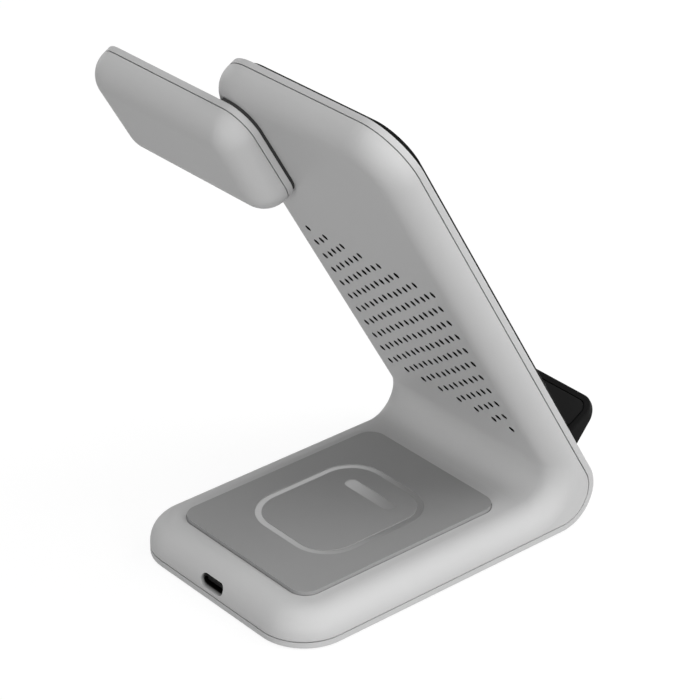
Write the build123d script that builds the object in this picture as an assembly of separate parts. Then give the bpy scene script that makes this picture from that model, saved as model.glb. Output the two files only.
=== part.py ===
from build123d import *
import os
from math import cos, radians, sin

# Charging stand in millimetres. +Z is up, the phone faces -Y and the power socket faces +Y.
# The origin is the middle of the base's footprint, on the desk.

# Body: one bent strip that is the base and the phone plate
base_width = 78.0
base_length = 114.4
plate_length = 151.4
lean_angle = 30.0
bend_radius = 12.0
inner_bend_radius = 8.0
corner_radius = 15.4
edge_radius = 7.5
cover_thickness = 1.9
cavity_depth = 6.8
wall = 1.8
rim_break = 0.2

# Parting line and locating lip between the cover and the housing
parting_gap = 0.4
parting_depth = 0.8
lip_height = 1.5
lip_thickness = 1.0
fit_gap = 0.15

# Grip sheet under the base
grip_margin = 4.0
grip_recess = 0.5
grip_proud = 0.5

# Front panel on the phone plate
panel_margin = 3.8
panel_recess = 0.6
panel_proud = 2.25
panel_round = 0.3
panel_gap = 0.05

# Phone ledge, a wedge with a flat top that is square to the plate
ledge_side_margin = 3.0
ledge_height = 14.7
ledge_reach = 13.9
ledge_root = 6.4
ledge_tip = 1.3
ledge_corner = 5.5
ledge_round = 0.5
ledge_pad_margin = 1.9
ledge_pad_near = 0.5
ledge_pad_gap = 0.4
ledge_pad_recess = 0.7
ledge_pad_proud = 0.25
ledge_screw_offset = 12.0

# Earbud mat on the base
mat_side_margin = 10.5
mat_end_margin = 10.9
mat_bend_margin = 5.5
mat_corner = 5.5
mat_recess = 0.6
mat_proud = 1.1
mat_round = 0.9
mat_gap = 0.3
mark_side_margin = 9.3
mark_end_margin = 14.6
mark_corner = 12.0
mark_line = 2.0
mark_depth = 0.15
pill_width = 20.6
pill_height = 4.4
pill_margin = 11.0

# Vent holes through the phone plate's back
vent_diameter = 2.2
vent_pitch_across = 7.58
vent_pitch_along = 3.21
vent_stagger = 4.16
vent_low = 24.6
vent_columns = 8
vent_rows = 21

# Watch head, a rounded box beside the phone plate
watch_width = 68.0
watch_height = 37.9
watch_overlap = 22.2
watch_drop = 24.9
watch_corner = 8.9
watch_edge_radius = 8.5
watch_cover_thickness = 1.95
watch_cavity = 7.55
arm_gap = 1.1
arm_screw_margin = 6.2
arm_screw_side_margin = 9.0
arm_hole_margin = 8.7
arm_hole_gap = 0.9
gasket_margin = 0.5
gasket_setback = 2.5
dish_side_margin = 3.45
dish_end_margin = 22.9
dish_proud = 1.2
dish_hollow = 0.8
dish_rim = 1.4
dish_round = 0.4
dish_flange = 1.2
lip_relief = 0.6
flange_thickness = 1.0

# Coils, ferrites and their carriers
coil_thickness = 1.1
ferrite_thickness = 0.8
carrier_thickness = 1.2
phone_coil_diameter = 34.0
phone_coil_bore = 18.0
phone_coil_low = 54.0
phone_coil_gap = 1.0
earbud_coil_diameter = 32.0
earbud_coil_bore = 14.0
watch_coil_margin = 3.0
magnet_diameter = 10.0
magnet_gap = 0.5
ferrite_margin = 1.0
carrier_margin = 4.4

# Main board and what it carries
board_width = 56.0
board_length = 24.0
board_thickness = 1.0
board_standoff = 1.0
board_corner = 8.0
chip_height = 0.9
capacitor_height = 1.4
inductor_height = 3.0
controller_size = 7.0
bridge_size = 5.0
capacitor_size = 3.0
inductor_size = 6.0
part_spacing = 1.5
inductor_count = 2
bridge_count = 3
capacitor_count = 4

# Power socket and its slot
socket_width = 9.0
socket_height = 3.2
socket_length = 7.3
socket_skin = 0.3
socket_setback = 1.2
tongue_width = 6.7
tongue_thickness = 0.7
tongue_block = 1.8
tongue_setback = 0.7
slot_margin = 0.3
slot_side_margin = 0.6

# Leads
lead_diameter = 1.6
lead_turn = 2.0
lead_bend = 8.0
lead_gap = 1.0

# Screws, posts and the counterweight
screw_diameter = 2.0
screw_head = 3.6
head_height = 1.0
head_recess = 0.1
drive_width = 1.4
drive_depth = 0.5
boss_height = 1.5
boss_diameter = 5.4
post_diameter = 4.4
thread_depth = 3.6
short_screw = 2.7
bore_spare = 0.2
screw_gap = 0.1
body_screw_margin = 8.5
counterweight_width = 30.0
counterweight_margin = 11.0

# Air left beside pieces that must not touch, and how far cutters run past a face
room = 0.3
beyond = 1.0

# Sizes that follow from the ones above
depth = cover_thickness + cavity_depth + wall
ceiling = cover_thickness + cavity_depth
half_width = base_width / 2
half_length = base_length / 2
lean = radians(lean_angle)
turn = 90 + lean_angle
edge_round = min(edge_radius, cavity_depth + wall - parting_gap - room)
watch_depth = watch_cover_thickness + watch_cavity + wall
watch_edge_round = min(watch_edge_radius, watch_corner - room, watch_cavity + wall - parting_gap - room)
watch_front = depth + arm_gap
watch_inner_edge = half_width - watch_overlap
watch_middle = watch_inner_edge + watch_width / 2
watch_centre_height = plate_length - watch_drop
dish_middle = watch_inner_edge + watch_width - dish_end_margin
dish_diameter = watch_height - 2 * dish_side_margin
watch_coil_diameter = dish_diameter - 2 * watch_coil_margin
watch_coil_bore = magnet_diameter + 2 * magnet_gap
panel_corner = corner_radius - panel_margin
grip_corner = corner_radius - grip_margin
ledge_width = base_width - 2 * ledge_side_margin
board_floor = cover_thickness + board_standoff
board_top = board_floor + board_thickness
board_start = wall + fit_gap + lip_thickness + room
board_end = board_start + board_length
socket_middle = board_top + socket_height / 2
flat_half_width = half_width - edge_round
bore = screw_diameter / 2 + screw_gap
thread_bore = screw_diameter / 2 + screw_gap / 2

# Directions of the leaning plate, and the two working planes.
# On both planes x is across, y runs away from the bend or the socket end, and depth is counted inwards.
up_slope = Vector(0, sin(lean), cos(lean))
front = Vector(0, -cos(lean), sin(lean))
bend_centre = Vector(0, bend_radius - half_length, grip_proud + bend_radius)
plate_foot = bend_centre + front * bend_radius
plate = Plane(origin=plate_foot, x_dir=(1, 0, 0), z_dir=front)
base = Plane(origin=(0, half_length, grip_proud), x_dir=(1, 0, 0), z_dir=(0, 0, -1))

# Axis of the hollow bend between the base's top and the plate's back
hollow_depth = depth + inner_bend_radius
hollow_height = grip_proud + hollow_depth
hollow_run = (hollow_depth + (hollow_height - plate_foot.Z) * sin(lean)) / cos(lean)
hollow_centre = Vector(0, plate_foot.Y + hollow_run, hollow_height)
flat_length = half_length - hollow_centre.Y

# Mat and its marks, on the flat of the base's top
mat_width = base_width - 2 * mat_side_margin
mat_length = flat_length - mat_end_margin - mat_bend_margin
mat_middle = mat_end_margin + mat_length / 2
mark_width = mat_width - 2 * mark_side_margin
mark_length = mat_length - 2 * mark_end_margin
pill_place = mat_middle + mark_length / 2 - pill_margin

TINY = 0.001


def plate_point(x, along, inwards):
    """A point of the phone plate, from its place across, up the slope and behind the front face."""
    return plate_foot + Vector(x, 0, 0) + up_slope * along - front * inwards


def base_point(x, along, inwards):
    """A point of the base, from its place across, from the socket end and above the floor face."""
    return Vector(x, half_length - along, grip_proud + inwards)


def peg(plane, x, along, start, end, radius):
    """Round peg between two depths."""
    return plane * (Pos(x, along, -(start + end) / 2) * Cylinder(radius, end - start))


def sheet(plane, x, along, start, end, width, length, corner):
    """Flat sheet with rounded corners between two depths."""
    return plane * (Pos(x, along, -end) * extrude(RectangleRounded(width, length, corner), end - start))


def block(plane, x, along, start, end, width, length):
    """Plain block between two depths."""
    return plane * (Pos(x, along, -(start + end) / 2) * Box(width, length, end - start))


def four(x, near, far):
    """Corner places, both sides at two distances."""
    return [(side * x, along) for along in (near, far) for side in (-1, 1)]


def screw(plane, x, along, start, length, inwards=1):
    """Round-headed screw whose head starts at a depth and whose shank runs on from it."""
    head_end = start + inwards * head_height
    tip = head_end + inwards * length
    body = peg(plane, x, along, min(start, head_end), max(start, head_end), screw_head / 2)
    body += peg(plane, x, along, min(head_end, tip), max(head_end, tip), screw_diameter / 2)
    drive_end = start + inwards * drive_depth
    drive_low = min(start, drive_end)
    drive = extrude(RegularPolygon(drive_width / 2, 6), drive_depth)
    return body - plane * (Pos(x, along, -drive_low - drive_depth) * drive)


def lead(points, radii):
    """Round wire along straight runs joined by arcs."""
    path = FilletPolyline(*points, radius=radii)
    section = Plane(origin=path @ 0, z_dir=path % 0) * Circle(lead_diameter / 2)
    return sweep(section, path=path)


def bend_arc(inwards):
    """Axis and radius of the bend at a depth: the outer half follows the outside, the rest the hollow."""
    if inwards < depth / 2:
        return bend_centre, bend_radius - inwards
    return hollow_centre, hollow_depth - inwards


def strip_edges(body, inwards, inset):
    """Edges that run round a bent strip at one depth."""
    axis, axis_radius = bend_arc(inwards)
    chosen = []
    for edge in body.edges():
        spots = [edge @ 0.3, edge @ 0.7]
        on_base = all(abs(p.Z - grip_proud - inwards) < TINY for p in spots)
        on_plate = all(abs((plate_foot - p).dot(front) - inwards) < TINY for p in spots)
        on_bend = all(abs((p - axis - Vector(p.X, 0, 0)).length - axis_radius) < TINY for p in spots)
        if not (on_base or on_plate or on_bend):
            continue
        run = spots[1] - spots[0]
        crosswise = abs(run.X) > TINY and abs(run.Y) < TINY and abs(run.Z) < TINY
        at_end = abs(spots[0].Y - half_length + inset) < TINY
        at_top = abs((spots[0] - plate_foot).dot(up_slope) - plate_length + inset) < TINY
        if not crosswise or at_end or at_top:
            chosen.append(edge)
    return chosen


def strip(start, end, inset, back_round=0.0, front_round=0.0):
    """Bent strip of base and plate between two depths, its sides and ends moved in by the inset."""
    end_y = half_length - inset
    top = plate_length - inset
    outer, outer_radius = bend_arc(start)
    inner, inner_radius = bend_arc(end)
    front_top = plate_point(0, top, start)
    back_top = plate_point(0, top, end)
    outer_top = outer + front * outer_radius
    inner_top = inner + front * inner_radius
    low = grip_proud + start
    high = grip_proud + end
    outline = Line((end_y, low), (outer.Y, low))
    outline += CenterArc((outer.Y, outer.Z), outer_radius, 270, -turn)
    outline += Line((outer_top.Y, outer_top.Z), (front_top.Y, front_top.Z))
    outline += Line((front_top.Y, front_top.Z), (back_top.Y, back_top.Z))
    outline += Line((back_top.Y, back_top.Z), (inner_top.Y, inner_top.Z))
    outline += CenterArc((inner.Y, inner.Z), inner_radius, 270 - turn, turn)
    outline += Line((inner.Y, high), (end_y, high))
    outline += Line((end_y, high), (end_y, low))
    body = extrude(make_face(Plane.YZ * outline), half_width - inset, both=True)
    upright = body.edges().filter_by(Axis.Z).sort_by(Axis.Y)[-2:]
    body = fillet(upright, corner_radius - inset)
    square = body.edges().filter_by(Axis((0, 0, 0), front))
    body = fillet(square, corner_radius - inset)
    if back_round:
        body = fillet(strip_edges(body, end, inset), back_round)
    if front_round:
        body = fillet(strip_edges(body, start, inset), front_round)
    return body


def ring(start, end, outer_inset, inner_inset):
    """Band that follows the strip's edge between two depths."""
    return strip(start, end, outer_inset) - strip(start, end, inner_inset)


# Places that pieces share
vent_high = vent_low + (vent_rows - 1) * vent_pitch_along
vent_reach = vent_diameter / 2 + boss_diameter / 2 + room
body_screw_x = half_width - body_screw_margin
base_screw_places = four(body_screw_x, board_end + boss_diameter, flat_length - boss_diameter)
plate_screw_places = four(body_screw_x, vent_low - vent_reach, vent_high + vent_reach)
plate_screw_places += [(side * body_screw_x, plate_length - corner_radius) for side in (-1, 1)]
ledge_screw_height = ledge_height - ledge_root / 2
arm_screw_x = watch_inner_edge + arm_screw_margin
arm_screw_reach = watch_height / 2 - arm_screw_side_margin
arm_screw_heights = [watch_centre_height - arm_screw_reach, watch_centre_height + arm_screw_reach]
arm_hole_x = watch_inner_edge + arm_hole_margin

phone_coil_step = phone_coil_diameter + phone_coil_gap
phone_sheet_width = phone_coil_diameter + 2 * ferrite_margin
phone_sheet_length = phone_sheet_width + phone_coil_step
phone_stack_middle = phone_coil_low + phone_coil_step / 2
phone_ferrite_start = cover_thickness + coil_thickness
phone_carrier_start = phone_ferrite_start + ferrite_thickness
phone_carrier_end = phone_carrier_start + carrier_thickness
phone_post_x = phone_sheet_width / 2 + carrier_margin / 2
phone_post_reach = phone_sheet_length / 2 + carrier_margin / 2
phone_post_low = phone_stack_middle - phone_post_reach
phone_post_high = phone_stack_middle + phone_post_reach
phone_post_places = four(phone_post_x, phone_post_low, phone_post_high)

earbud_sheet = earbud_coil_diameter + 2 * ferrite_margin
earbud_ferrite_end = ceiling - coil_thickness
earbud_carrier_end = earbud_ferrite_end - ferrite_thickness
earbud_carrier_start = earbud_carrier_end - carrier_thickness
earbud_post = earbud_sheet / 2 + carrier_margin / 2
earbud_post_places = four(earbud_post, mat_middle - earbud_post, mat_middle + earbud_post)

board_post_x = board_width / 2 - post_diameter / 2 - room
board_post_places = four(board_post_x, board_start + board_corner, board_end - post_diameter / 2 - room)
board_row_one = board_start + board_corner + controller_size / 2
board_row_two = board_row_one + controller_size / 2 + part_spacing + bridge_size / 2

watch_inside = watch_front + watch_cover_thickness
watch_coil_start = watch_inside + flange_thickness
watch_ferrite_start = watch_coil_start + coil_thickness
watch_ferrite_radius = watch_coil_diameter / 2 + ferrite_margin
lead_offset = counterweight_width / 2 + lead_gap + lead_diameter / 2
lead_depth = cover_thickness + lead_diameter / 2 + screw_gap
lead_height = ceiling - lead_diameter / 2 - screw_gap
lead_hole = lead_diameter / 2 + arm_hole_gap


def watch_box(start, end, inset, back_round=0.0, front_round=0.0):
    """Rounded block of the watch head between two depths, its sides moved in by the inset."""
    width = watch_width - 2 * inset
    height = watch_height - 2 * inset
    body = sheet(plate, watch_middle, watch_centre_height, start, end, width, height, watch_corner - inset)
    for inwards, radius in ((end, back_round), (start, front_round)):
        if radius:
            middle = plate_point(watch_middle, watch_centre_height, inwards)
            rim = [e for e in body.edges() if abs((e @ 0.3 - middle).dot(front)) < TINY
                   and abs((e @ 0.7 - middle).dot(front)) < TINY]
            body = fillet(rim, radius)
    return body


def outline_panel(gap):
    """Front panel's outline: round at the top, square at the ledge."""
    low = ledge_height + fit_gap - gap
    high = plate_length - panel_margin + gap
    width = base_width - 2 * panel_margin + 2 * gap
    length = high - low
    middle = (low + high) / 2
    shape = RectangleRounded(width, length, panel_corner + gap)
    shape += Pos(0, -length / 4) * Rectangle(width, length / 2)
    return Pos(0, middle) * shape


def make_outer_cover():
    """Base floor, bend and plate front in one moulding, with bosses and a locating lip inside."""
    cover = strip(0.0, cover_thickness, 0.0, front_round=rim_break)
    lip_start = wall + fit_gap
    cover += ring(cover_thickness, cover_thickness + lip_height, lip_start, lip_start + lip_thickness)
    boss_end = cover_thickness + boss_height
    bosses = [(base, base_screw_places, grip_recess), (plate, plate_screw_places, panel_recess)]
    for plane, places, recess in bosses:
        seat = recess + head_recess + head_height
        for x, along in places:
            cover += peg(plane, x, along, cover_thickness, boss_end, boss_diameter / 2)
            cover -= peg(plane, x, along, -beyond, seat, screw_head / 2 + screw_gap)
            cover -= peg(plane, x, along, 0.0, boss_end, bore)
    for x, along in phone_post_places:
        cover += peg(plate, x, along, cover_thickness, phone_carrier_start, post_diameter / 2)
        hole_end = phone_carrier_end - short_screw - bore_spare
        cover -= peg(plate, x, along, hole_end, phone_carrier_end, thread_bore)
    for x, along in board_post_places:
        cover += peg(base, x, along, cover_thickness, board_floor, post_diameter / 2)
        cover -= peg(base, x, along, board_top - short_screw - bore_spare, board_top, thread_bore)
    for side in (-1, 1):
        cover -= peg(plate, side * ledge_screw_offset, ledge_screw_height, -beyond, cover_thickness, bore)
    cover -= plate * (Pos(0, 0, -panel_recess) * extrude(outline_panel(panel_gap), panel_recess + beyond))
    cover -= grip_shape(-beyond, grip_recess, panel_gap)
    return cover


def grip_shape(start, end, gap):
    """Sheet under the base, from the socket end to the start of the bend."""
    width = base_width - 2 * grip_margin + 2 * gap
    length = base_length - bend_radius - 2 * grip_margin + 2 * gap
    middle = (base_length - bend_radius) / 2
    return sheet(base, 0, middle, start, end, width, length, grip_corner + gap)


def mat_shape(start, end, gap):
    """Mat's block on the base's top."""
    return sheet(base, 0, mat_middle, start, end, mat_width + 2 * gap, mat_length + 2 * gap, mat_corner + gap)


def vent_places():
    """Staggered rows of vent holes, centred on the plate."""
    places = []
    for row in range(vent_rows):
        along = vent_low + row * vent_pitch_along
        if row % 2:
            count = vent_columns - 1
            across = [vent_pitch_across * (i - (count - 1) / 2) for i in range(count)]
        else:
            half = [vent_stagger + vent_pitch_across * i for i in range(vent_columns // 2)]
            across = half + [-x for x in half]
        places += [(x, along) for x in across]
    return places


def make_back_housing():
    """Rounded shell of the base's top and the plate's back."""
    shell = strip(cover_thickness, depth, 0.0, back_round=edge_round)
    shell -= strip(cover_thickness, ceiling, wall, back_round=edge_round - wall)
    shell -= ring(cover_thickness, cover_thickness + parting_gap, 0.0, parting_depth)
    boss_end = cover_thickness + boss_height
    for plane, places in ((base, base_screw_places), (plate, plate_screw_places)):
        for x, along in places:
            shell += peg(plane, x, along, boss_end, ceiling + room, boss_diameter / 2)
            shell -= peg(plane, x, along, boss_end, boss_end + thread_depth + bore_spare, thread_bore)
    for x, along in earbud_post_places:
        shell += peg(base, x, along, earbud_carrier_end, ceiling + room, post_diameter / 2)
        hole_end = earbud_carrier_start + short_screw + bore_spare
        shell -= peg(base, x, along, earbud_carrier_start, hole_end, thread_bore)
    shell -= mat_shape(depth - mat_recess, depth + beyond, mat_gap)
    for height in arm_screw_heights:
        shell -= peg(plate, arm_screw_x, height, ceiling, depth + beyond, bore)
    shell -= arm_peg(ceiling, depth + beyond)
    slot_width = socket_width + 2 * slot_side_margin
    slot_height = socket_height + 2 * slot_margin
    shell -= slot_shape(slot_width, slot_height, -beyond, wall + edge_round)
    low = ceiling - beyond
    high = depth + beyond
    return shell - [peg(plate, x, along, low, high, vent_diameter / 2) for x, along in vent_places()]


def slot_shape(width, height, start, end):
    """Slot-shaped block along the socket's axis, from one distance behind the end face to another."""
    mouth = Plane(origin=(0, half_length, grip_proud + socket_middle), x_dir=(1, 0, 0), z_dir=(0, 1, 0))
    return mouth * (Pos(0, 0, -end) * extrude(SlotOverall(width, height), end - start))


def make_front_panel():
    """Black panel that stands proud of the rim."""
    panel = plate * (Pos(0, 0, -panel_recess) * extrude(outline_panel(0.0), panel_recess + panel_proud))
    face = panel.faces().sort_by(Axis(plate_foot, front))[-1]
    return fillet(face.edges(), panel_round)


def ledge_block(margin, low, high):
    """Plan of the ledge between two heights on the plate, its free edges moved in by the margin."""
    across = Plane(origin=plate_point(0, high, 0), x_dir=(1, 0, 0), z_dir=up_slope)
    width = ledge_width - 2 * margin
    reach = 2 * (ledge_reach - margin)
    plan = RectangleRounded(width, reach, max(ledge_corner - margin, room))
    return across * (Pos(0, 0, low - high) * extrude(plan, high - low))


def pad_shape(gap, high):
    """Ledge pad's outline from its bed up to a height, square at the panel and moved in by a gap."""
    pad = ledge_block(ledge_pad_margin + gap, ledge_height - ledge_pad_recess, high)
    near = -panel_proud - ledge_pad_near - gap
    return pad & block(plate, 0, high, -2 * ledge_reach, near, ledge_width, 2 * ledge_height)


def make_phone_ledge():
    """Wedge with a flat top, a bed for its pad and two screw holes."""
    root_low = ledge_height - ledge_root
    outline = [
        plate_point(0, ledge_height, 0),
        plate_point(0, ledge_height, -ledge_reach),
        plate_point(0, ledge_height - ledge_tip, -ledge_reach),
        plate_point(0, root_low, 0),
    ]
    side = make_face(Polyline(*outline, close=True))
    wedge = extrude(side, ledge_width / 2, dir=(1, 0, 0), both=True)
    wedge = wedge & ledge_block(0.0, root_low, ledge_height)
    top = [e for e in wedge.edges() if abs((e @ 0.5 - plate_foot).dot(up_slope) - ledge_height) < TINY
           and (e @ 0.5 - plate_foot).dot(front) > TINY]
    wedge = fillet(top, ledge_round)
    wedge -= pad_shape(0.0, ledge_height + beyond)
    for x in (-ledge_screw_offset, ledge_screw_offset):
        wedge -= peg(plate, x, ledge_screw_height, -thread_depth - bore_spare, beyond, thread_bore)
    return wedge


def make_earbud_mat():
    """Raised mat with an engraved case outline and a pill."""
    top = depth + mat_proud
    mat = mat_shape(depth - mat_recess, top, 0.0)
    mat = fillet(mat.faces().sort_by(Axis.Z)[-1].edges(), mat_round)
    floor = top - mark_depth
    line = sheet(base, 0, mat_middle, floor, top + beyond, mark_width, mark_length, mark_corner)
    inner_width = mark_width - 2 * mark_line
    inner_length = mark_length - 2 * mark_line
    inner_corner = mark_corner - mark_line
    line -= sheet(base, 0, mat_middle, floor, top + beyond, inner_width, inner_length, inner_corner)
    pill = extrude(SlotOverall(pill_width, pill_height), mark_depth + beyond)
    return mat - line - base * (Pos(0, pill_place, -top - beyond) * pill)


def dish_peg(start, end, radius):
    """Round peg on the dish's axis."""
    return peg(plate, dish_middle, watch_centre_height, start, end, radius)


def arm_peg(start, end):
    """Round peg that fills the lead's hole through the arm."""
    return peg(plate, arm_hole_x, watch_centre_height, start, end, lead_hole)


def make_watch_front_cover():
    """Flat front of the watch head, with the dish's hole, screw bosses and a locating lip."""
    cover = watch_box(watch_front, watch_inside, 0.0, front_round=rim_break)
    lip_start = wall + fit_gap
    lip = watch_box(watch_inside, watch_inside + lip_height, lip_start)
    lip -= watch_box(watch_inside, watch_inside + lip_height, lip_start + lip_thickness)
    relief = dish_diameter / 2 + dish_flange + lip_relief
    cover += lip - dish_peg(watch_inside, watch_inside + lip_height, relief)
    cover -= dish_peg(watch_front - beyond, watch_inside, dish_diameter / 2 + fit_gap)
    boss_end = watch_inside + thread_depth + bore_spare
    for height in arm_screw_heights:
        cover += peg(plate, arm_screw_x, height, watch_inside, boss_end, boss_diameter / 2)
        cover -= peg(plate, arm_screw_x, height, watch_front - beyond, boss_end, thread_bore)
    return cover - arm_peg(watch_front - beyond, watch_inside)


def make_watch_back_shell():
    """Rounded back of the watch head."""
    back = watch_front + watch_depth
    shell = watch_box(watch_inside, back, 0.0, back_round=watch_edge_round)
    shell -= watch_box(watch_inside, back - wall, wall, back_round=watch_edge_round - wall)
    groove = watch_box(watch_inside, watch_inside + parting_gap, 0.0)
    return shell - (groove - watch_box(watch_inside, watch_inside + parting_gap, parting_depth))


def make_arm_gasket():
    """Spacer that fills the gap between the watch head and the flat of the plate's back."""
    gasket = watch_box(depth, watch_front, gasket_margin)
    reach = flat_half_width - gasket_setback - watch_inner_edge
    middle = watch_inner_edge + reach / 2
    gasket = gasket & block(plate, middle, watch_centre_height, depth, watch_front, reach, watch_height)
    for height in arm_screw_heights:
        gasket -= peg(plate, arm_screw_x, height, depth - beyond, watch_front + beyond, bore)
    return gasket - arm_peg(depth - beyond, watch_front + beyond)


def make_watch_dish():
    """Round charging face, hollowed a little, with a flange behind the cover."""
    face = watch_front - dish_proud
    radius = dish_diameter / 2
    dish = dish_peg(face, watch_inside, radius)
    rim = dish.edges().filter_by(GeomType.CIRCLE).sort_by(Axis(plate_foot, front))[-1]
    dish = fillet(rim, dish_round)
    dish += dish_peg(watch_inside, watch_coil_start, radius + dish_flange)
    hollow_edge = radius - dish_rim
    ball = (hollow_edge ** 2 + dish_hollow ** 2) / (2 * dish_hollow)
    return dish - Pos(plate_point(dish_middle, watch_centre_height, face + dish_hollow - ball)) * Sphere(ball)


def coil(plane, x, along, start, outside, inside):
    """Flat wound ring."""
    return (peg(plane, x, along, start, start + coil_thickness, outside / 2)
            - peg(plane, x, along, start, start + coil_thickness, inside / 2))


def carrier(plane, along, start, width, length, places):
    """Flat bracket with a screw hole at each place."""
    bracket = sheet(plane, 0, along, start, start + carrier_thickness, width, length, carrier_margin / 2)
    for x, place in places:
        bracket -= peg(plane, x, place, start, start + carrier_thickness, bore)
    return bracket


def make_main_board():
    """Board with round corners at the socket end and a hole over each post."""
    middle = board_start + board_length / 2
    shape = RectangleRounded(board_width, board_length, board_corner)
    shape += Pos(0, board_length / 4) * Rectangle(board_width, board_length / 2)
    board = base * (Pos(0, middle, -board_top) * extrude(shape, board_thickness))
    for x, along in board_post_places:
        board -= peg(base, x, along, board_floor, board_top, bore)
    return board


def board_parts(side, along, size, height, count):
    """Row of square components on the board's top, from the middle out to one side."""
    places = [side * (part_spacing + size / 2 + i * (size + part_spacing)) for i in range(count)]
    parts = [block(base, x, along, board_top, board_top + height, size, size) for x in places]
    return Compound(children=parts)


def make_socket_shell():
    """Metal sleeve of the power socket."""
    end = socket_setback + socket_length
    inner = slot_shape(socket_width - 2 * socket_skin, socket_height - 2 * socket_skin, socket_setback, end)
    return slot_shape(socket_width, socket_height, socket_setback, end) - inner


def make_socket_insulator():
    """Block that closes the sleeve's back."""
    end = socket_setback + socket_length
    width = socket_width - 2 * socket_skin - 2 * panel_gap
    height = socket_height - 2 * socket_skin - 2 * panel_gap
    return slot_shape(width, height, end - tongue_block, end)


def make_socket_tongue():
    """Contact tongue on the insulator's front, in the middle of the sleeve."""
    end = socket_setback + socket_length - tongue_block
    start = socket_setback + tongue_setback
    low = socket_middle - tongue_thickness / 2
    return block(base, 0, (start + end) / 2, low, low + tongue_thickness, tongue_width, end - start)


def bend_corner(x, inwards):
    """Corner of a lead's route, where its run along the floor meets its run at a depth of the plate."""
    low = base_point(x, 0, lead_depth)
    rise = (low - plate_foot).dot(front) + inwards
    return low + Vector(0, rise / cos(lean), 0)


def make_phone_lead():
    """Wire from the board's inner edge, round the bend and up to the phone coils' carrier."""
    inwards = phone_carrier_start + carrier_thickness / 2
    points = [
        base_point(-lead_offset, board_end, lead_depth),
        bend_corner(-lead_offset, inwards),
        plate_point(-lead_offset, phone_stack_middle - phone_carrier_length / 2, inwards),
    ]
    return lead(points, [lead_bend])


def make_watch_lead():
    """Wire from the board, up inside the plate's back and through the arm to the watch coil."""
    inside = watch_ferrite_start + ferrite_thickness / 2
    points = [
        base_point(lead_offset, board_end, lead_depth),
        bend_corner(lead_offset, lead_height),
        plate_point(lead_offset, watch_centre_height, lead_height),
        plate_point(arm_hole_x, watch_centre_height, lead_height),
        plate_point(arm_hole_x, watch_centre_height, inside),
        plate_point(dish_middle - watch_ferrite_radius - screw_gap, watch_centre_height, inside),
    ]
    return lead(points, [lead_bend, lead_turn, lead_turn, lead_turn])


def make_earbud_lead():
    """Wire from the earbud coil's ferrite down to the board."""
    points = [
        base_point(0, mat_middle - earbud_sheet / 2, lead_height),
        base_point(0, board_row_one, lead_height),
        base_point(0, board_row_one, board_top),
    ]
    return lead(points, [min(lead_turn, lead_height - board_top - room)])


def make_counterweight():
    """Steel plate on the base's floor, below the earbud coil's carrier."""
    top = earbud_carrier_start - head_height - room
    low = board_end + part_spacing
    high = base_length - bend_radius - counterweight_margin
    middle = (low + high) / 2
    return sheet(base, 0, middle, cover_thickness, top, counterweight_width, high - low, part_spacing)


def screws(plane, places, start, length, inwards=1):
    """Group of equal screws."""
    return Compound(children=[screw(plane, x, along, start, length, inwards) for x, along in places])


boss_tip = cover_thickness + boss_height + thread_depth
base_seat = grip_recess + head_recess
plate_seat = panel_recess + head_recess
ledge_seat = cover_thickness + head_height
ledge_places = [(-ledge_screw_offset, ledge_screw_height), (ledge_screw_offset, ledge_screw_height)]
arm_places = [(arm_screw_x, height) for height in arm_screw_heights]
arm_length = wall + arm_gap + watch_cover_thickness + thread_depth
watch_ferrite_end = watch_ferrite_start + ferrite_thickness
phone_coil_high = phone_coil_low + phone_coil_step
phone_carrier_width = phone_sheet_width + 2 * carrier_margin
phone_carrier_length = phone_sheet_length + 2 * carrier_margin
earbud_carrier_size = earbud_sheet + 2 * carrier_margin

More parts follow.
